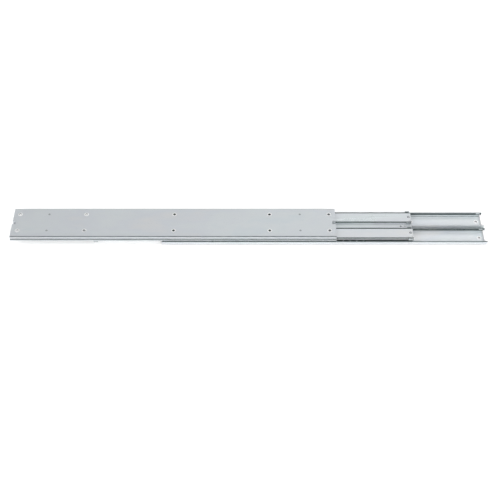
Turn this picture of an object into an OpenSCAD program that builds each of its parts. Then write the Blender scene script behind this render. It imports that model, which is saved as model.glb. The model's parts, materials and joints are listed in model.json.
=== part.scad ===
// Twin-track ball-bearing cabinet drawer slide: cabinet member, intermediate member, drawer member.
// It lies on its cabinet face. X runs along the slide (+X is the rear), Y across its height, Z through
// its thickness. The origin is the centre of the cabinet member's mounting face.
// "top" is the +Y track and "bottom" the -Y track, as the slide stands when it is screwed to a side wall.

/* [Slide] */
// Closed length of the cabinet and drawer members
slide_length = 700; // [560:20:900]
// Height across the two outer ball tracks
slide_height = 88; // [86:1:96]
// Thickness from mounting face to mounting face
slide_thickness = 25.4; // [25.4:0.1:27]
// Steel thickness of the cabinet and drawer members
sheet_t = 1.8; // [1.5:0.1:1.8]

/* [Extension] */
// How far the intermediate member stands out of the cabinet member
intermediate_out = 154; // [0:1:230]
// How far the drawer member stands out of the intermediate member
drawer_out = 171; // [0:1:230]
// Greatest travel of each of the two stages
stage_travel = 335; // [240:5:335]

/* [Balls] */
// Ball diameter
ball_d = 4.762; // [4.5:0.001:4.762]
// Distance between balls in a row
ball_pitch = 14.6; // [10:0.2:20]

/* [Screw holes] */
// Diameter of the mounting screw holes
screw_hole_d = 5.5; // [4:0.1:6]
// Distance between the two rows of mounting holes
screw_row_spacing = 48; // [40:1:52]

/* [Hidden] */
// Lengths along the slide
half_length = slide_length / 2;
bumper_length = 4.6;
end_play = 0.4;
middle_half_length = half_length - bumper_length - end_play;
stop_length = 9;
stop_set_back = 2;
stop_inner_x = middle_half_length - stop_set_back - stop_length;
cage_length = 2 * stop_inner_x - stage_travel - 2 * end_play;
cage_end_margin = 5;
balls_per_row = floor((cage_length - 2 * cage_end_margin) / ball_pitch) + 1;
crimp_inset = 8.5;
crimp_x = half_length - crimp_inset;
crimp_length = 9;

// Mounting holes, as distances from the member's ends
corner_hole_inset = 14;
dimple_inset = 77;
long_end_hole_inset = 158;
short_end_hole_inset = 143;
screw_columns = [
    -half_length + corner_hole_inset,
    -half_length + short_end_hole_inset,
    0,
    half_length - long_end_hole_inset,
    half_length - corner_hole_inset
];
dimple_columns = [-half_length + dimple_inset, half_length - dimple_inset];
dimple_r = 2.2;
dimple_depth = 0.7;
notch_depth = 7;
notch_width = 9;

// Ball race section
race_r = ball_d / 2 + 0.12;
race_wrap = 44;
crimp_flat = 0.95;
bend_r = 1.2;
ball_z = 8.8;
ball_y_outer = slide_height / 2 - sheet_t - race_r;
rail_slot = 5.6;
ball_y_inner = rail_slot / 2 + sheet_t + race_r;
track_y = (ball_y_outer + ball_y_inner) / 2;
ball_offset = (ball_y_outer - ball_y_inner) / 2;
mid_z = slide_thickness / 2;
neck_reach = race_r + sheet_t + bend_r;
neck_y = neck_reach * cos(race_wrap);
neck_z = ball_z - neck_reach * sin(race_wrap);
wall_y = ball_y_outer + neck_y - bend_r - sheet_t;
rail_bend_y = ball_y_inner - neck_y;
arc_steps = 8;

// Intermediate member section
web_t = 1.2;
channel_t = 1.5;
channel_side_gap = 1.5;
channel_half_w = ball_offset - channel_side_gap;
channel_corner_r = 2;
channel_corner_drop = 0.5;
foot_w = 6;
groove_z = mid_z - ball_z;
groove_angle = acos((ball_offset - channel_half_w) / race_r);
groove_lip_angle = 32;
groove_lip = [ball_offset - race_r * cos(groove_lip_angle), groove_z + race_r * sin(groove_lip_angle)];
channel_top_z = groove_lip[1] + channel_corner_drop;
corner_end_angle = asin(1 - channel_corner_drop / channel_corner_r);
corner_centre = [groove_lip[0] - channel_corner_r * cos(corner_end_angle), channel_top_z - channel_corner_r];
channel_taper_length = 10;
channel_taper_width = 4;
web_hole_inset = 23.5;
web_hole_d = 4;
web_pilot_inset = 15;
web_pilot_d = 3;
stop_clearance = 0.3;
stop_race_gap = 0.2;
stop_width = ball_offset + race_r * cos(race_wrap) - stop_clearance - channel_half_w;
stop_half_height = mid_z - (ball_z - race_r * sin(race_wrap)) - stop_race_gap;
rivet_inset = 5;
rivet_d = 4;
rivet_head_d = 6.4;
rivet_head_h = 0.9;

// Cages and bumpers
cage_t = 1;
cage_floor_z = 3.5;
cage_top_z = 11.7;
window_r = ball_d / 2 + 0.07;
bumper_height = 5.4;
bumper_side_gap = 0.1;
slack = 0.1;

zinc = [0.79, 0.82, 0.84];
inner_zinc = [0.72, 0.77, 0.78];
cage_steel = [0.30, 0.32, 0.33];
ball_steel = [0.85, 0.86, 0.88];
nylon = [0.90, 0.90, 0.86];

// ---- section helpers: points are [y, z], and z is measured from the member's mounting face ----

function arc(centre, r, from, to) = [
    for (i = [0 : arc_steps])
        let (a = from + (to - from) * i / arc_steps)
        [centre[0] + r * cos(a), centre[1] + r * sin(a)]
];
function reversed(points) = [for (i = [len(points) - 1 : -1 : 0]) points[i]];
function mirrored(points) = [for (p = points) [-p[0], p[1]]];
// A symmetric sheet section from its +Y half: the side that faces the balls and the back of the sheet.
function both_halves(ball_side, back) = concat(
    ball_side, reversed(back), mirrored(back), reversed(mirrored(ball_side))
);

module along_x(length, section) {
    rotate([90, 0, 90])
        linear_extrude(length, center = true)
            polygon(section);
}

// Turns a cabinet-side part end for end into its drawer-side twin.
module drawer_side() {
    translate([0, 0, slide_thickness])
        rotate([0, 180, 0])
            children();
}

module out_of_cabinet(distance) {
    translate([-distance, 0, 0])
        children();
}

// ---- cabinet and drawer members ----

// Floor, bend, wall, neck and ball race of one member edge, offset by d towards the back of the sheet.
function member_edge(d) = concat(
    [[0, sheet_t - d]],
    arc([wall_y - bend_r, sheet_t + bend_r], bend_r + d, -90, 0),
    arc([wall_y + bend_r + sheet_t, neck_z], bend_r + sheet_t - d, 180, 180 - race_wrap),
    arc([ball_y_outer, ball_z], race_r + d, -race_wrap, race_wrap)
);

// The same path for the centre rail, whose balls are on its outer side.
function rail_edge(d) = concat(
    [[0, sheet_t + d]],
    arc([rail_bend_y, sheet_t + bend_r + sheet_t], bend_r + sheet_t - d, -90, 0),
    arc([rail_bend_y, neck_z], bend_r + sheet_t - d, 0, race_wrap),
    arc([ball_y_inner, ball_z], race_r + d, 180 + race_wrap, 180 - race_wrap)
);

// Oval crimps pressed into the races, where the last ball of a row comes to rest.
module crimp(race_bottom_y, side) {
    face_y = race_bottom_y - side * race_r * (1 - cos(race_wrap));
    crimp_r = race_r * sin(race_wrap) - slack;
    reach = abs(face_y - race_bottom_y) + sheet_t / 2;
    straight = crimp_length - 2 * crimp_r;
    flat_half_h = crimp_flat * crimp_r;
    translate([0, face_y, ball_z])
        rotate([-90 * side, 0, 0])
            union() {
                translate([-straight / 2, -flat_half_h, 0])
                    cube([straight, 2 * flat_half_h, reach]);
                for (end = [-1, 1])
                    translate([end * straight / 2, 0, 0])
                        cylinder(r = crimp_r, h = reach, $fn = 32);
            }
}

module crimps(race_bottom_y, side) {
    for (end = [-1, 1], half = [0, 1])
        mirror([0, half, 0])
            translate([end * crimp_x, 0, 0])
                crimp(race_bottom_y, side);
}

module end_notches(height) {
    for (end = [-1, 1])
        translate([end * half_length, 0, height / 2 - slack])
            cube([2 * notch_depth, notch_width, height], center = true);
}

module screw_holes() {
    for (x = screw_columns, side = [-1, 1])
        translate([x, side * screw_row_spacing / 2, -slack])
            cylinder(d = screw_hole_d, h = sheet_t + 2 * slack, $fn = 40);
}

module dimples() {
    cap_r = (dimple_r * dimple_r + dimple_depth * dimple_depth) / (2 * dimple_depth);
    for (x = dimple_columns, side = [-1, 1])
        translate([x, side * screw_row_spacing / 2, dimple_depth - cap_r])
            sphere(r = cap_r, $fn = 48);
}

module track_member() {
    difference() {
        union() {
            along_x(slide_length, both_halves(member_edge(0), member_edge(sheet_t)));
            crimps(ball_y_outer + race_r, 1);
        }
        screw_holes();
        dimples();
        end_notches(sheet_t + 2 * slack);
    }
}

module center_rail() {
    difference() {
        union() {
            along_x(slide_length, both_halves(rail_edge(0), rail_edge(sheet_t)));
            crimps(ball_y_inner - race_r, -1);
        }
        end_notches(2 * sheet_t + 2 * slack);
    }
}

module bumpers() {
    inner_y = rail_bend_y + bend_r + sheet_t + bumper_side_gap;
    outer_y = wall_y - bumper_side_gap;
    for (half = [0, 1])
        mirror([0, half, 0])
            translate([half_length - bumper_length, 0, sheet_t])
                rotate([90, 0, 90])
                    linear_extrude(bumper_length)
                        polygon([
                            [inner_y, 0], [outer_y - bend_r, 0], [outer_y, bend_r],
                            [outer_y, bumper_height], [inner_y, bumper_height]
                        ]);
}

module cabinet_member() {
    color(zinc) track_member();
}

module cabinet_center_rail() {
    color(inner_zinc) center_rail();
}

module cabinet_bumpers() {
    color(nylon) bumpers();
}

module drawer_member() {
    color(zinc) out_of_cabinet(intermediate_out + drawer_out) drawer_side() track_member();
}

module drawer_center_rail() {
    color(inner_zinc) out_of_cabinet(intermediate_out + drawer_out) drawer_side() center_rail();
}

module drawer_bumpers() {
    color(nylon) out_of_cabinet(intermediate_out + drawer_out) drawer_side() bumpers();
}

// ---- intermediate member ----

// One half of a channel's outer face: corner, ball groove, foot. z is measured from the mid plane.
function channel_outer() = concat(
    arc(corner_centre, channel_corner_r, 90, corner_end_angle),
    arc([ball_offset, groove_z], race_r, 180 - groove_lip_angle, 180 + groove_angle),
    [[channel_half_w, web_t / 2]]
);

// The inner face of the same half, from the crown to the foot's free edge.
function channel_inner() = let (
    r = race_r + channel_t,
    foot_top = web_t / 2 + channel_t,
    crown = channel_top_z - channel_t
) concat(
    arc([ball_offset, groove_z], r, 180 - asin((crown - groove_z) / r), 180 + asin((groove_z - foot_top) / r)),
    [[channel_half_w - foot_w, foot_top], [channel_half_w - foot_w, web_t / 2]]
);

module channel() {
    difference() {
        along_x(2 * middle_half_length, both_halves(channel_outer(), channel_inner()));
        for (end = [0, 1], side = [0, 1])
            mirror([end, 0, 0])
                mirror([0, side, 0])
                    translate([middle_half_length, channel_half_w, 0])
                        linear_extrude(channel_top_z + slack)
                            polygon([
                                [-channel_taper_length, slack],
                                [slack, -channel_taper_width],
                                [slack, slack]
                            ]);
        for (end = [-1, 1])
            translate([end * (middle_half_length - rivet_inset), 0, 0])
                cylinder(d = rivet_d, h = channel_top_z + slack, $fn = 32);
    }
}

// side is +1 for the top track and -1 for the bottom track.
module drawer_side_channel(side) {
    color(zinc)
        out_of_cabinet(intermediate_out)
            translate([0, side * track_y, mid_z])
                channel();
}

module cabinet_side_channel(side) {
    color(inner_zinc)
        out_of_cabinet(intermediate_out)
            translate([0, side * track_y, mid_z])
                mirror([0, 0, 1])
                    channel();
}

module intermediate_web() {
    tongue_half_w = track_y - channel_half_w - stop_width;
    half_w = track_y + channel_half_w;
    color(inner_zinc)
        out_of_cabinet(intermediate_out)
            translate([0, 0, mid_z])
                difference() {
                    union() {
                        cube([2 * stop_inner_x, 2 * half_w, web_t], center = true);
                        cube([2 * middle_half_length, 2 * tongue_half_w, web_t], center = true);
                    }
                    for (end = [-1, 1]) {
                        translate([end * (middle_half_length - web_hole_inset), 0, -web_t])
                            cylinder(d = web_hole_d, h = 2 * web_t, $fn = 32);
                        translate([end * (middle_half_length - web_pilot_inset), 0, -web_t])
                            cylinder(d = web_pilot_d, h = 2 * web_t, $fn = 32);
                    }
                }
}

// A cross bar in the plane of the web with an ear on each side that catches both ball cages.
module end_stop() {
    bar_length = middle_half_length - stop_inner_x;
    reach = channel_half_w + stop_width;
    difference() {
        union() {
            translate([stop_inner_x, -reach, -web_t / 2])
                cube([bar_length, 2 * reach, web_t]);
            for (side = [0, 1])
                mirror([0, side, 0])
                    translate([stop_inner_x, channel_half_w, -stop_half_height])
                        cube([stop_length, stop_width, 2 * stop_half_height]);
        }
        translate([middle_half_length - rivet_inset, 0, -web_t])
            cylinder(d = rivet_d, h = 2 * web_t, $fn = 32);
    }
}

module end_stops(end) {
    color(inner_zinc)
        out_of_cabinet(intermediate_out)
            for (side = [-1, 1])
                translate([0, side * track_y, mid_z])
                    mirror([end, 0, 0])
                        end_stop();
}

module rivet() {
    cylinder(d = rivet_d, h = 2 * channel_top_z, center = true, $fn = 32);
    for (face = [0, 1])
        mirror([0, 0, face])
            translate([0, 0, channel_top_z])
                cylinder(d1 = rivet_head_d, d2 = rivet_head_d - 2 * rivet_head_h, h = rivet_head_h, $fn = 32);
}

module end_stop_rivets() {
    color(ball_steel)
        out_of_cabinet(intermediate_out)
            for (end = [-1, 1], side = [-1, 1])
                translate([end * (middle_half_length - rivet_inset), side * track_y, mid_z])
                    rivet();
}

// ---- ball cages and balls ----

function ball_x(i) = (i - (balls_per_row - 1) / 2) * ball_pitch;

module cage() {
    outer = ball_offset + cage_t / 2;
    inner = ball_offset - cage_t / 2;
    section = [
        [-outer, cage_floor_z], [outer, cage_floor_z], [outer, cage_top_z], [inner, cage_top_z],
        [inner, cage_floor_z + cage_t], [-inner, cage_floor_z + cage_t],
        [-inner, cage_top_z], [-outer, cage_top_z]
    ];
    difference() {
        along_x(cage_length, section);
        for (i = [0 : balls_per_row - 1])
            translate([ball_x(i), 0, ball_z])
                rotate([90, 0, 0])
                    cylinder(r = window_r, h = 2 * outer + 2 * slack, center = true, $fn = 32);
    }
}

module ball_row() {
    for (i = [0 : balls_per_row - 1])
        translate([ball_x(i), 0, ball_z])
            sphere(d = ball_d, $fn = 32);
}

// The cages run at half the speed of the member that rolls over them.
module cabinet_side_cage_place(side) {
    out_of_cabinet(intermediate_out / 2)
        translate([0, side * track_y, 0])
            children();
}

module drawer_side_cage_place(side) {
    out_of_cabinet(intermediate_out + drawer_out / 2)
        translate([0, side * track_y, 0])
            drawer_side()
                children();
}

module cabinet_balls(side, row) {
    color(ball_steel)
        cabinet_side_cage_place(side)
            translate([0, side * row * ball_offset, 0])
                ball_row();
}

module drawer_balls(side, row) {
    color(ball_steel)
        drawer_side_cage_place(side)
            translate([0, side * row * ball_offset, 0])
                ball_row();
}

module cabinet_cage(side) {
    color(cage_steel) cabinet_side_cage_place(side) cage();
}

module drawer_cage(side) {
    color(cage_steel) drawer_side_cage_place(side) cage();
}

cabinet_member();
cabinet_center_rail();
cabinet_bumpers();
drawer_member();
drawer_center_rail();
drawer_bumpers();
intermediate_web();
cabinet_side_channel(1);  // cabinet_side_channel_top
cabinet_side_channel(-1);  // cabinet_side_channel_bottom
drawer_side_channel(1);  // drawer_side_channel_top
drawer_side_channel(-1);  // drawer_side_channel_bottom
end_stops(1);  // front_end_stops
end_stops(0);  // rear_end_stops
end_stop_rivets();
cabinet_cage(1);  // cabinet_cage_top
cabinet_cage(-1);  // cabinet_cage_bottom
drawer_cage(1);  // drawer_cage_top
drawer_cage(-1);  // drawer_cage_bottom
cabinet_balls(1, 1);  // cabinet_balls_top_outer
cabinet_balls(1, -1);  // cabinet_balls_top_inner
cabinet_balls(-1, 1);  // cabinet_balls_bottom_outer
cabinet_balls(-1, -1);  // cabinet_balls_bottom_inner
drawer_balls(1, 1);  // drawer_balls_top_outer
drawer_balls(1, -1);  // drawer_balls_top_inner
drawer_balls(-1, 1);  // drawer_balls_bottom_outer
drawer_balls(-1, -1);  // drawer_balls_bottom_inner
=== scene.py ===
"""Looks of the twin-track drawer slide: zinc plated steel with painted shade and painted highlights, greased
races, balls, cages and nylon.
"""

import json
import math

import bmesh
import bpy
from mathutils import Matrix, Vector

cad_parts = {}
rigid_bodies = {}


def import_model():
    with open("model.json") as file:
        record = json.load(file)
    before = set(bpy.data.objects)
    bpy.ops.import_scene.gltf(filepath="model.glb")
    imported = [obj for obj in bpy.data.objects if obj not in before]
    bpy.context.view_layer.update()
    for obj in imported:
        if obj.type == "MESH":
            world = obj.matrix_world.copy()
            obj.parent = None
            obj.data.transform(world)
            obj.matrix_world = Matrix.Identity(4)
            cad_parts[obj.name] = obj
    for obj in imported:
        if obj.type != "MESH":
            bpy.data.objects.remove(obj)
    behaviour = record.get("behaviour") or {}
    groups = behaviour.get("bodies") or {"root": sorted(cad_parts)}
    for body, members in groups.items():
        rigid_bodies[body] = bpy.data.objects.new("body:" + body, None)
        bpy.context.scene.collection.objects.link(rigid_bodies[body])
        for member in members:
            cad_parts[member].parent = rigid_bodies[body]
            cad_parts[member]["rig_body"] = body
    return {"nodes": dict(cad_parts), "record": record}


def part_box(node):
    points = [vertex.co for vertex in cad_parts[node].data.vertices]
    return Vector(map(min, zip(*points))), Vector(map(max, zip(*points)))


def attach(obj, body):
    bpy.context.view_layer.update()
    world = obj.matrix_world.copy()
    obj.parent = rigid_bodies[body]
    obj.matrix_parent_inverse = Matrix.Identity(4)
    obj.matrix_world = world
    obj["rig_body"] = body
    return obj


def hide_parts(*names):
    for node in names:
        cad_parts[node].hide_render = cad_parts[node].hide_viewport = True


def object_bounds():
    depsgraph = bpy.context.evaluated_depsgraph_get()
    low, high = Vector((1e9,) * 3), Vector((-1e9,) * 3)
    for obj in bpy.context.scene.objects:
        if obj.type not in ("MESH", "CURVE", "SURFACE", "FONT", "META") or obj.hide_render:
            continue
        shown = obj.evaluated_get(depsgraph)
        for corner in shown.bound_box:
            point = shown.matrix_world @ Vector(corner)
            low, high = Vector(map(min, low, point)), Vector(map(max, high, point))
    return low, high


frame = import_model()
cad_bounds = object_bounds()
record = frame["record"]
scene = bpy.context.scene

MM = 0.001

# ---- camera, floor and light ----

CAMERA_ELEVATION = math.radians(48)
CAMERA_DISTANCE = 2.109
CAMERA_TARGET = Vector((-0.1605, -0.081, 0.026))
CAMERA_LENS = 71.93
CAMERA_SENSOR = 36
CAMERA_CLIP = (0.05, 50)

FLOOR_SIZE = 14
FLOOR_DROP = 0.3 * MM
FLOOR_GLOW = 0.06

# Area lights: name, location, target, size, watts, colour.
WHITE = (1, 1, 1)
AREA_LIGHTS = [
    ("right_softbox", (2.3, -0.35, 1.9), (-0.1, -0.1, 0), (2.2, 1.8), 30, WHITE),
    ("left_softbox", (-2.6, -0.35, 1.9), (-0.2, -0.1, 0), (2.2, 1.8), 22, (0.97, 0.985, 1.0)),
    ("front_fill", (-0.16, -2.3, 1.3), (-0.16, -0.05, 0), (3.6, 0.8), 95, WHITE),
    ("back_fill", (-0.16, 2.4, 1.3), (-0.16, 0.05, 0), (3.6, 0.8), 55, WHITE),
]

# Brightness of the room by the height of the direction looked in, 0 level and 1 straight up.
NORTH_WALL = [(0.0, 0.4), (0.08, 0.1), (0.50, 0.1), (0.64, 0.9), (0.84, 0.9), (0.93, 0.12)]
SOUTH_WALL = [(0.0, 0.22), (0.30, 0.14), (0.69, 0.14), (0.73, 2.2), (0.85, 2.2), (0.89, 0.12)]
WALL_TINT = (0.975, 0.99, 1.0)
# The south wall turns into the north wall over this span of Y, and the room is brighter towards +X.
WALLS_MEET = (-0.15, 0.15)
LEFT_TO_RIGHT = (-0.45, 0.35)
ROOM_STRENGTH = (0.525, 1.04)

# ---- mesh finish ----

SHARP_EDGE = math.radians(28)
WELD_DISTANCE = 0.002 * MM
NORMAL_WEIGHT = 100
# A face is a sheared end when its normal lies this close to X, and the wall of a hole when it stands this
# upright within this share of the hole's radius.
END_NORMAL_X = 0.9
WALL_NORMAL_Z = 0.3
HOLE_REACH = 1.05
# The sheet is bent where its normal is neither upright nor level.
BENT_NORMAL_Z = (0.1, 0.985)

# ---- grease, wear, painted shade and painted highlights ----

# How far from a ball row's centre line the grease film and its painted shade reach, in the race and over the
# race's lip, and how far from the slide's mid plane the lips stand.
GROOVE_REACH = 2.7 * MM
RACE_REACH = 3.1 * MM
LIP_REACH = 3.9 * MM
LIP_HEIGHT = 2.6 * MM
LIP_OVERLAP = 0.1 * MM
RACE_FADE = 0.6 * MM
FILM_FADE = 0.3 * MM
# The painted shade line in the neck outside a race: how far beyond the ball row, and between which heights
# from mid.
NECK_OUTSIDE = 1.9 * MM
NECK_HEIGHT = (4.7 * MM, 6.6 * MM)
NECK_FADE = 0.2 * MM
# The painted dark line on the +Y edge of a channel's crown: painted shade and a painted dark reflection on
# the far rounded edge.
FAR_EDGE_SHADE = 4.0 * MM
FAR_EDGE_SHADE_DEPTH = 0.6 * MM
FAR_EDGE_SHADE_STRENGTH = 2.0
# The film starts this far inside the surface of the balls.
BALL_INSIDE = (0.4 * MM, 0.2 * MM)
GREASE_THIN = 0.88
GREASE_GLOSS = 0.35
# Dark grease colour, also used to paint shade into the races, over their lips, in the necks and along the
# far edges of the channel crowns.
GREASE_AND_SHADE_COLOR = (0.022, 0.052, 0.05)

# Bent faces are painted darker, as dulled zinc and as painted shade on the curves and race walls, and the
# rims of the screw holes are painted bright, as rubbed zinc and as a painted highlight.
BENT_DULL_AND_SHADE = (0.13, 0.155, 0.16)
BENT_ROUGH = 0.06
SHEARED_STEEL = [(0.3, (0.42, 0.44, 0.45)), (0.7, (0.62, 0.64, 0.65))]
SHEARED_ROUGH = 0.15
# Bright rims round the screw holes: rubbed zinc and a painted highlight on the hole's edge.
RUBBED_HIGHLIGHT_RIM = 2.1 * MM
RUBBED_HIGHLIGHT_FADE = 0.7 * MM
RUBBED_HIGHLIGHT_ZINC = (0.985, 0.99, 0.99)
RUBBED_HIGHLIGHT_ROUGH = 0.12
# Painted shade on the walls of the screw holes.
HOLE_SHADE = (0.05, 0.06, 0.06)
HOLE_SHADE_EDGE = (0.05 * MM, 0.1 * MM)

# ---- colours and finishes ----

ZINC = [(0.68, 0.735, 0.765), (0.735, 0.77, 0.785), (0.72, 0.75, 0.785), (0.765, 0.775, 0.785)]
INNER_ZINC = [(0.66, 0.72, 0.735), (0.72, 0.765, 0.775), (0.71, 0.735, 0.765), (0.755, 0.765, 0.77)]
# The drawer member's zinc is the same zinc painted darker: painted shade on its plate.
DRAWER_PAINTED_SHADE = 0.92
SHADED_DRAWER_ZINC = [tuple(DRAWER_PAINTED_SHADE * channel for channel in tint) for tint in ZINC]
ROLLED_LINES = (0.60, 0.64, 0.67)
SCRATCHED_ZINC = (0.90, 0.92, 0.93)
SPECKLED_ZINC = (0.45, 0.48, 0.50)
# How metallic the zinc is: below 1, it has a matt part.
MATT_ZINC = 0.72
CABINET_ZINC = 0.5

SHEET_ROUGH = 0.30
CABINET = dict(rough=SHEET_ROUGH, bend_darkening=1.5, metal=CABINET_ZINC)
DRAWER = dict(rough=SHEET_ROUGH)
RAIL = dict(rough=SHEET_ROUGH, bend_darkening=0.1)
CHANNEL = dict(rough=0.27, lip=False, grease=0.7, bend_darkening=0.15)


def make_camera():
    data = bpy.data.cameras.new("camera")
    data.lens = CAMERA_LENS
    data.sensor_width = CAMERA_SENSOR
    data.clip_start, data.clip_end = CAMERA_CLIP
    camera = bpy.data.objects.new("camera", data)
    scene.collection.objects.link(camera)
    back = Vector((0, -math.cos(CAMERA_ELEVATION), math.sin(CAMERA_ELEVATION)))
    camera.location = CAMERA_TARGET + back * CAMERA_DISTANCE
    camera.rotation_mode = "QUATERNION"
    camera.rotation_quaternion = (-back).to_track_quat("-Z", "Y")
    scene.camera = camera


def area_light(name, location, target, size, watts, color):
    """A soft light that lights the slide and the floor but isn't seen in the steel."""
    data = bpy.data.lights.new(name, "AREA")
    data.shape = "RECTANGLE"
    data.size, data.size_y = size
    data.energy = watts
    data.color = color
    light = bpy.data.objects.new(name, data)
    scene.collection.objects.link(light)
    light.location = location
    light.rotation_mode = "QUATERNION"
    light.rotation_quaternion = (Vector(target) - Vector(location)).to_track_quat("-Z", "Y")
    light.visible_glossy = False


# ---- node helpers ----


class Shader:
    """A material's node tree, with one short call for each kind of node that is used here."""

    def __init__(self, name):
        self.material = bpy.data.materials.new(name)
        self.material.use_nodes = True
        self.tree = self.material.node_tree
        self.tree.nodes.clear()
        self.out = self.tree.nodes.new("ShaderNodeOutputMaterial")
        self.bsdf = self.tree.nodes.new("ShaderNodeBsdfPrincipled")
        self.tree.links.new(self.bsdf.outputs["BSDF"], self.out.inputs["Surface"])
        self.object = self.node("ShaderNodeTexCoord").outputs["Object"]
        self.flat = self.stretched((1, 1, 0))

    def node(self, kind, **settings):
        made = self.tree.nodes.new(kind)
        for key, value in settings.items():
            setattr(made, key, value)
        return made

    def put(self, socket, value):
        if isinstance(value, bpy.types.NodeSocket):
            self.tree.links.new(value, socket)
        else:
            socket.default_value = value

    def set(self, name, value):
        self.put(self.bsdf.inputs[name], value)

    def math(self, operation, a, b=0.0):
        made = self.node("ShaderNodeMath", operation=operation)
        self.put(made.inputs[0], a)
        self.put(made.inputs[1], b)
        return made.outputs[0]

    def add(self, a, b):
        return self.math("ADD", a, b)

    def minus(self, a, b):
        return self.math("SUBTRACT", a, b)

    def times(self, a, b):
        return self.math("MULTIPLY", a, b)

    def absolute(self, a):
        return self.math("ABSOLUTE", a)

    def split(self, vector):
        made = self.node("ShaderNodeSeparateXYZ")
        self.put(made.inputs[0], vector)
        return made.outputs

    def stretched(self, scale, offset=(0, 0, 0)):
        made = self.node("ShaderNodeMapping")
        self.put(made.inputs["Vector"], self.object)
        made.inputs["Scale"].default_value = scale
        made.inputs["Location"].default_value = offset
        return made.outputs[0]

    def noise(self, scale, offset=(0, 0, 0), detail=2.0, rough=0.5):
        """Noise with so many waves per metre along X, Y and Z."""
        made = self.node("ShaderNodeTexNoise")
        self.put(made.inputs["Vector"], self.stretched(scale, offset))
        made.inputs["Scale"].default_value = 1.0
        made.inputs["Detail"].default_value = detail
        made.inputs["Roughness"].default_value = rough
        return made.outputs["Fac"]

    def spread(self, value, low, high, to_low=0.0, to_high=1.0):
        made = self.node("ShaderNodeMapRange", clamp=True)
        for socket, number in zip(made.inputs, (value, low, high, to_low, to_high)):
            self.put(socket, number)
        return made.outputs[0]

    def fade(self, value, start, width):
        """1 below start, falling to 0 over the width."""
        return self.spread(value, start, start + width, 1.0, 0.0)

    def ramp(self, value, stops):
        made = self.node("ShaderNodeValToRGB")
        self.put(made.inputs[0], value)
        elements = made.color_ramp.elements
        while len(elements) < len(stops):
            elements.new(0.5)
        for element, (place, color) in zip(elements, stops):
            element.position = place
            element.color = (*color, 1)
        return made.outputs[0]

    def tint(self, factor, color, over):
        """The colour, covered by the fixed colour over where the factor says."""
        made = self.node("ShaderNodeMix", data_type="RGBA")
        factor_in, color_in, over_in = made.inputs[0], made.inputs[6], made.inputs[7]
        self.put(factor_in, factor)
        self.put(color_in, color)
        self.put(over_in, over if isinstance(over, bpy.types.NodeSocket) else (*over, 1))
        return made.outputs[2]

    def bump(self, height, distance, strength, below=None):
        made = self.node("ShaderNodeBump")
        made.inputs["Strength"].default_value = strength
        made.inputs["Distance"].default_value = distance
        self.put(made.inputs["Height"], height)
        if below is not None:
            self.put(made.inputs["Normal"], below)
        return made.outputs[0]

    def face_mark(self, name):
        return self.node("ShaderNodeAttribute", attribute_name=name).outputs["Fac"]


def hole_distance(sh, holes):
    """Distance to the nearest hole centre, given as (x, y, radius)."""
    nearest = 1.0
    for x, y, _ in holes:
        away = sh.node("ShaderNodeVectorMath", operation="DISTANCE")
        sh.put(away.inputs[0], sh.flat)
        away.inputs[1].default_value = (x, y, 0)
        nearest = sh.math("MINIMUM", nearest, away.outputs["Value"])
    return nearest


def line_distance(sh, lines):
    """Distance to the nearest of the lines along X, given as (|y|, z)."""
    _, y, z = sh.split(sh.object)
    nearest = 1.0
    for line_y, line_z in lines:
        dy = sh.minus(sh.absolute(y), line_y)
        dz = sh.minus(z, line_z)
        square = sh.add(sh.times(dy, dy), sh.times(dz, dz))
        nearest = sh.math("MINIMUM", nearest, sh.math("SQRT", square))
    return nearest


def ball_lines(side):
    """The (|y|, z) of the ball rows of one side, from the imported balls."""
    lines = []
    for row in ("outer", "inner"):
        low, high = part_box(f"{side}_balls_top_{row}")
        lines.append(((low.y + high.y) / 2, (low.z + high.z) / 2))
    return lines


def ball_radius():
    low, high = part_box("cabinet_balls_top_outer")
    return (high.z - low.z) / 2


def middle_height():
    low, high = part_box("intermediate_web")
    return (low.z + high.z) / 2


# ---- materials ----


def rolled_sheet(sh, tints, rough):
    """Zinc plated cold-rolled sheet: cloudy tint, rolling lines along X, scratches and specks."""
    cloud = sh.noise((7, 16, 16), detail=3.0, rough=0.55)
    stops = [(i / (len(tints) - 1), tint) for i, tint in enumerate(tints)]
    color = sh.ramp(sh.spread(cloud, 0.3, 0.7), stops)
    lines = sh.noise((5, 950, 950), detail=4.0, rough=0.65)
    color = sh.tint(sh.spread(lines, 0.35, 0.7, 0.0, 0.05), color, ROLLED_LINES)
    roughness = sh.add(
        sh.spread(lines, 0.3, 0.7, rough - 0.01, rough + 0.03),
        sh.spread(cloud, 0.3, 0.7, -0.02, 0.04),
    )

    scratch = sh.absolute(sh.minus(sh.noise((9, 260, 260), (3, 1, 2), detail=1.0), 0.5))
    patches = sh.spread(sh.noise((22, 40, 40), (5, 5, 5)), 0.52, 0.62)
    scratch = sh.times(sh.fade(scratch, 0.0, 0.006), patches)
    color = sh.tint(sh.times(scratch, 0.35), color, SCRATCHED_ZINC)
    specks = sh.spread(sh.noise((420, 420, 420), detail=1.0), 0.70, 0.76)
    color = sh.tint(sh.times(specks, 0.3), color, SPECKLED_ZINC)

    grain = sh.noise((40, 2400, 2400))
    pebble = sh.noise((700, 700, 700))
    normal = sh.bump(grain, 0.02 * MM, 0.35)
    normal = sh.bump(pebble, 0.04 * MM, 0.25, normal)
    normal = sh.bump(scratch, 0.03 * MM, 0.03, normal)
    return color, roughness, normal


def rubbed_and_highlighted_rims(sh, holes, color, roughness):
    """Bright rings round the screw holes: rubbed zinc where screw heads have rubbed, and a painted highlight
    on the hole's edge.
    """
    ring = sh.fade(hole_distance(sh, holes), holes[0][2] + RUBBED_HIGHLIGHT_RIM, RUBBED_HIGHLIGHT_FADE)
    ring = sh.times(ring, sh.spread(sh.noise((500, 500, 500)), 0.3, 0.6, 0.75, 1.0))
    return sh.tint(ring, color, RUBBED_HIGHLIGHT_ZINC), sh.add(roughness, sh.times(ring, RUBBED_HIGHLIGHT_ROUGH))


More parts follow.
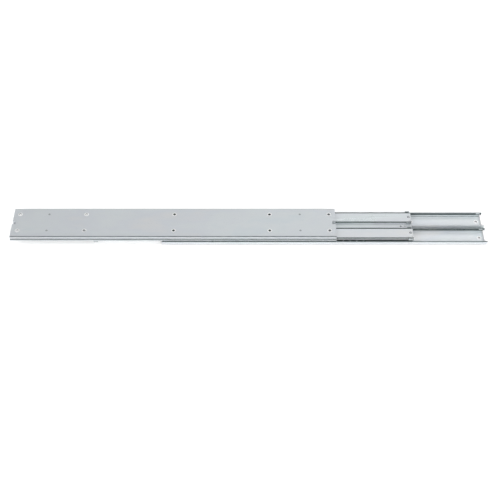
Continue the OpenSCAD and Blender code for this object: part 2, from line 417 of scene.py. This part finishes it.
def shaded_holes(sh, holes, color):
    """Painted shade on the walls of the screw holes."""
    start, end = (holes[0][2] + edge for edge in HOLE_SHADE_EDGE)
    inside = sh.spread(hole_distance(sh, holes), start, end, 1.0, 0.0)
    hole_shade_mottle = sh.spread(sh.noise((700, 700, 700), (2, 2, 2)), 0.3, 0.6, 0.7, 0.95)
    return sh.tint(sh.times(inside, hole_shade_mottle), color, HOLE_SHADE)


def race_grease_and_shade(sh, rows, distance, y, from_mid):
    """Grease and painted shade in a member's races and over their lips, and a painted shade line in the neck
    outside them.
    """
    row_y, row_z = rows[0]
    row_height = abs(row_z - middle_height())
    race = sh.fade(distance, RACE_REACH, FILM_FADE)
    # Only the part of the race farther from the mid plane than the ball row is darkened: painted shade on
    # that half.
    race = sh.times(race, sh.spread(from_mid, row_height - RACE_FADE, row_height))

    lip = sh.math("LESS_THAN", from_mid, LIP_HEIGHT)
    lip = sh.times(lip, sh.math("GREATER_THAN", distance, GROOVE_REACH - LIP_OVERLAP))
    lip = sh.times(lip, sh.fade(distance, LIP_REACH, FILM_FADE))

    # The neck line is painted shade in the crease outside the race.
    start, end = NECK_HEIGHT
    neck = sh.math("GREATER_THAN", sh.minus(sh.absolute(y), row_y + NECK_OUTSIDE), 0.0)
    neck = sh.times(neck, sh.spread(from_mid, start, start + NECK_FADE))
    neck = sh.times(neck, sh.fade(from_mid, end, NECK_FADE))
    return sh.math("MAXIMUM", sh.math("MAXIMUM", race, lip), neck)


def groove_grease_and_shade(sh, side, distance, y, from_mid):
    """Grease and painted shade in a channel's grooves, and a painted dark line on the +Y edge of its crown.
    """
    groove = sh.fade(distance, GROOVE_REACH, FILM_FADE)
    # The line on the +Y edge is painted shade where the far rounded edge looks dark.
    low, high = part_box(f"{side}_side_channel_top")
    centre_y = (low.y + high.y) / 2
    line_start = (high.y - low.y) / 2 - FAR_EDGE_SHADE
    local_y = sh.minus(y, sh.times(sh.math("SIGN", y), centre_y))
    line = sh.spread(local_y, line_start, line_start + FILM_FADE)
    line = sh.times(line, sh.math("GREATER_THAN", from_mid, high.z - low.z - FAR_EDGE_SHADE_DEPTH))
    return sh.math("MAXIMUM", groove, sh.times(line, FAR_EDGE_SHADE_STRENGTH))


def greased(sh, side, lip, grease, color, roughness):
    """Dark grease and painted shade where the balls of one side roll, but not inside the balls' own place.
    """
    rows = ball_lines(side)
    distance = line_distance(sh, rows)
    _, y, z = sh.split(sh.object)
    from_mid = sh.absolute(sh.minus(z, middle_height()))
    if lip:
        film = race_grease_and_shade(sh, rows, distance, y, from_mid)
    else:
        film = groove_grease_and_shade(sh, side, distance, y, from_mid)
    start, end = (ball_radius() - inside for inside in BALL_INSIDE)
    film = sh.times(film, sh.spread(distance, start, end))
    smear = sh.noise((60, 500, 500))
    film = sh.times(film, sh.spread(smear, 0.3, 0.7, grease * GREASE_THIN, grease))
    gloss = sh.minus(1.0, sh.times(film, GREASE_GLOSS))
    return sh.tint(film, color, GREASE_AND_SHADE_COLOR), sh.times(roughness, gloss)


def zinc(name, tints, rough, grease_side=None, lip=True, grease=0.95, marked_holes=(), bend_darkening=1.0,
         metal=MATT_ZINC):
    """Zinc plated sheet that was cut, bent and greased, with painted shade and painted highlights.

    The listed screw holes get bright rims, rubbed zinc and a painted highlight, and painted shade on their
    walls; the bend factor says how much the bent faces are painted darker, as dulled zinc and painted shade.
    """
    sh = Shader(name)
    color, roughness, normal = rolled_sheet(sh, tints, rough)
    # Bright rims round the screw holes: rubbed zinc and a painted highlight.
    if marked_holes:
        color, roughness = rubbed_and_highlighted_rims(sh, marked_holes, color, roughness)
    if grease_side:
        color, roughness = greased(sh, grease_side, lip, grease, color, roughness)

    # Bent faces are painted darker: dulled zinc and painted shade on the curves and race walls.
    bend_mottle = sh.spread(sh.noise((90, 1500, 1500), (1, 4, 2), detail=3.0), 0.3, 0.7, 0.55, 0.85)
    bent = sh.times(sh.face_mark("bent"), sh.times(bend_mottle, bend_darkening))
    color = sh.tint(bent, color, BENT_DULL_AND_SHADE)
    roughness = sh.add(roughness, sh.times(bent, BENT_ROUGH))

    cut = sh.face_mark("cut")
    tear = sh.noise((900, 900, 60), detail=3.0)
    color = sh.tint(cut, color, sh.ramp(tear, SHEARED_STEEL))
    roughness = sh.add(roughness, sh.times(cut, SHEARED_ROUGH))
    # Painted shade on the walls of the screw holes.
    if marked_holes:
        color = shaded_holes(sh, marked_holes, color)

    sh.set("Base Color", color)
    sh.set("Metallic", metal)
    sh.set("Roughness", roughness)
    sh.set("Normal", normal)
    return sh.material


def strip_steel(name, light, dark, rough, wet):
    """Thin strip or pressed steel with oil on it: cages, stops and rivets."""
    sh = Shader(name)
    cloud = sh.noise((80, 220, 220), detail=4.0, rough=0.6)
    color = sh.ramp(sh.spread(cloud, 0.3, 0.7), [(0.0, dark), (1.0, light)])
    smear = sh.spread(sh.noise((30, 90, 90), (7, 2, 1), detail=3.0), 0.42, 0.6)
    color = sh.tint(sh.times(smear, wet), color, tuple(c * 0.6 for c in dark))
    sh.set("Base Color", color)
    sh.set("Metallic", 1.0)
    sh.set("Roughness", sh.spread(smear, 0.0, 1.0, rough, rough * 0.6))
    sh.set("Normal", sh.bump(sh.noise((900, 2600, 2600), detail=3.0), 0.02 * MM, 0.4))
    return sh.material


def ball_steel():
    sh = Shader("ball_steel")
    film = sh.spread(sh.noise((450, 450, 450), detail=3.0), 0.45, 0.62)
    color = sh.ramp(film, [(0.0, (0.84, 0.86, 0.87)), (1.0, (0.55, 0.60, 0.60))])
    sh.set("Base Color", color)
    sh.set("Metallic", 1.0)
    sh.set("Roughness", sh.spread(film, 0.0, 1.0, 0.06, 0.22))
    sh.set("Normal", sh.bump(sh.noise((1800, 1800, 1800)), 0.01 * MM, 0.2))
    return sh.material


def nylon():
    sh = Shader("nylon")
    cloud = sh.noise((160, 160, 160), detail=3.0)
    tints = [(0.0, (0.77, 0.76, 0.765)), (1.0, (0.85, 0.84, 0.84))]
    sh.set("Base Color", sh.ramp(sh.spread(cloud, 0.3, 0.7), tints))
    sh.set("Roughness", sh.spread(cloud, 0.3, 0.7, 0.42, 0.55))
    sh.set("Subsurface Weight", 0.12)
    sh.set("Subsurface Radius", (2.0 * MM, 2.0 * MM, 1.6 * MM))
    sh.set("Normal", sh.bump(sh.noise((1400, 1400, 1400), detail=3.0), 0.03 * MM, 0.35))
    return sh.material


def floor_material():
    sh = Shader("floor")
    paper = sh.noise((3, 3, 3))
    color = sh.ramp(paper, [(0.3, (0.93, 0.93, 0.93)), (0.7, (0.95, 0.95, 0.95))])
    sh.set("Base Color", color)
    sh.set("Roughness", 0.9)
    sh.set("Specular IOR Level", 0.1)
    sh.set("Emission Color", (1.0, 1.0, 1.0, 1.0))
    sh.set("Emission Strength", FLOOR_GLOW)
    return sh.material


# ---- pieces ----


def screw_holes():
    """Centre and radius (x, y, r) of each member's screw holes, from the record's mounts."""
    holes = {"cabinet": [], "drawer": []}
    for mount in record["mounts"]:
        if mount["kind"] != "bolt_pattern":
            continue
        dims = mount["dims"]
        x, y, _ = mount["pos_m"]
        half_x = dims.get("spacing_x_mm", 0) * MM / 2
        half_y = dims.get("spacing_y_mm", 0) * MM / 2
        radius = dims["hole_r_mm"] * MM
        member = mount["name"].split("_")[0]
        holes[member] += [(x + a, y + b, radius) for a in (-half_x, half_x) for b in (-half_y, half_y)]
    return holes


def is_cut(face, bored):
    """Whether a face was sheared: the ends of the sheet, and the walls of the bored holes."""
    if abs(face.normal.x) > END_NORMAL_X:
        return True
    if abs(face.normal.z) >= WALL_NORMAL_Z:
        return False
    centre = face.calc_center_median()
    return any(math.hypot(centre.x - x, centre.y - y) < r * HOLE_REACH for x, y, r in bored)


def finished(node, material, bored=(), sharp=SHARP_EDGE):
    """A copy of a CAD node with welded corners, smooth curves, and its cut and bent faces marked."""
    source = frame["nodes"][node]
    mesh = source.data.copy()
    mesh.name = node + "_finished"
    bm = bmesh.new()
    bm.from_mesh(mesh)
    bmesh.ops.remove_doubles(bm, verts=bm.verts, dist=WELD_DISTANCE)
    cut = bm.faces.layers.float.new("cut")
    bent = bm.faces.layers.float.new("bent")
    lowest, highest = BENT_NORMAL_Z
    for face in bm.faces:
        face.smooth = True
        face[cut] = float(is_cut(face, bored))
        face[bent] = float(lowest < abs(face.normal.z) < highest)
    bm.to_mesh(mesh)
    bm.free()
    mesh.set_sharp_from_angle(angle=sharp)
    mesh.materials.clear()
    mesh.materials.append(material)
    piece = bpy.data.objects.new(node + "_finished", mesh)
    scene.collection.objects.link(piece)
    weighted = piece.modifiers.new("weighted_normals", "WEIGHTED_NORMAL")
    weighted.mode = "FACE_AREA"
    weighted.weight = NORMAL_WEIGHT
    weighted.keep_sharp = True
    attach(piece, source["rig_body"])
    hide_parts(node)


holes = screw_holes()

make_camera()
member_look = {
    side: zinc(f"member_steel_{side}", tints, grease_side=side, marked_holes=holes[side], **look)
    for side, tints, look in (("cabinet", ZINC, CABINET), ("drawer", SHADED_DRAWER_ZINC, DRAWER))
}
rail_look = {
    side: zinc(f"rail_steel_{side}", INNER_ZINC, grease_side=side, **RAIL)
    for side in ("cabinet", "drawer")
}
channel_look = {
    side: zinc(f"intermediate_steel_{side}", INNER_ZINC, grease_side=side, **CHANNEL)
    for side in ("cabinet", "drawer")
}
web_look = zinc("intermediate_steel_web", INNER_ZINC, SHEET_ROUGH)
stop_look = strip_steel("stop_steel", (0.66, 0.70, 0.71), (0.48, 0.52, 0.53), 0.38, 0.3)
rivet_look = strip_steel("rivet_steel", (0.80, 0.82, 0.83), (0.66, 0.69, 0.70), 0.30, 0.2)
cage_look = strip_steel("cage_steel", (0.20, 0.225, 0.235), (0.10, 0.12, 0.125), 0.42, 0.5)
ball_look = ball_steel()
nylon_look = nylon()

for node in frame["nodes"]:
    side = node.split("_")[0]
    if node.endswith("_member"):
        finished(node, member_look[side], holes[side])
    elif node.endswith("center_rail"):
        finished(node, rail_look[side])
    elif "_side_channel_" in node:
        finished(node, channel_look[side])
    elif node == "intermediate_web":
        finished(node, web_look)
    elif node.endswith("_stops"):
        finished(node, stop_look)
    elif node.endswith("_rivets"):
        finished(node, rivet_look)
    elif "_cage_" in node:
        finished(node, cage_look)
    elif "_balls_" in node:
        finished(node, ball_look, sharp=math.pi)
    else:
        finished(node, nylon_look)

# ---- studio ----

bpy.ops.mesh.primitive_plane_add(size=FLOOR_SIZE, location=(0, 0, cad_bounds[0].z - FLOOR_DROP))
floor = bpy.context.object
floor.name = "floor"
floor.data.materials.append(floor_material())

for settings in AREA_LIGHTS:
    area_light(*settings)


def make_world():
    """A soft studio room: bright upper walls over a dark band behind the slide, and a dark ceiling."""
    world = bpy.data.worlds.new("studio")
    world.use_nodes = True
    tree = world.node_tree
    tree.nodes.clear()
    out = tree.nodes.new("ShaderNodeOutputWorld")
    background = tree.nodes.new("ShaderNodeBackground")
    split = tree.nodes.new("ShaderNodeSeparateXYZ")
    tree.links.new(tree.nodes.new("ShaderNodeTexCoord").outputs["Generated"], split.inputs[0])
    look_x, look_y, look_z = split.outputs

    def wall(stops):
        made = tree.nodes.new("ShaderNodeValToRGB")
        while len(made.color_ramp.elements) < len(stops):
            made.color_ramp.elements.new(0.5)
        for element, (place, level) in zip(made.color_ramp.elements, stops):
            element.position = place
            element.color = (*(level * tint for tint in WALL_TINT), 1)
        tree.links.new(look_z, made.inputs[0])
        return made.outputs[0]

    def across(direction, span, result):
        made = tree.nodes.new("ShaderNodeMapRange")
        for socket, number in zip(list(made.inputs)[1:], (*span, *result)):
            socket.default_value = number
        tree.links.new(direction, made.inputs[0])
        return made.outputs[0]

    both = tree.nodes.new("ShaderNodeMix")
    both.data_type = "RGBA"
    tree.links.new(across(look_y, WALLS_MEET, (0.0, 1.0)), both.inputs[0])
    tree.links.new(wall(SOUTH_WALL), both.inputs[6])
    tree.links.new(wall(NORTH_WALL), both.inputs[7])
    tree.links.new(both.outputs[2], background.inputs["Color"])
    tree.links.new(across(look_x, LEFT_TO_RIGHT, ROOM_STRENGTH), background.inputs["Strength"])
    tree.links.new(background.outputs[0], out.inputs[0])
    scene.world = world


make_world()
scene.view_settings.view_transform = "Standard"
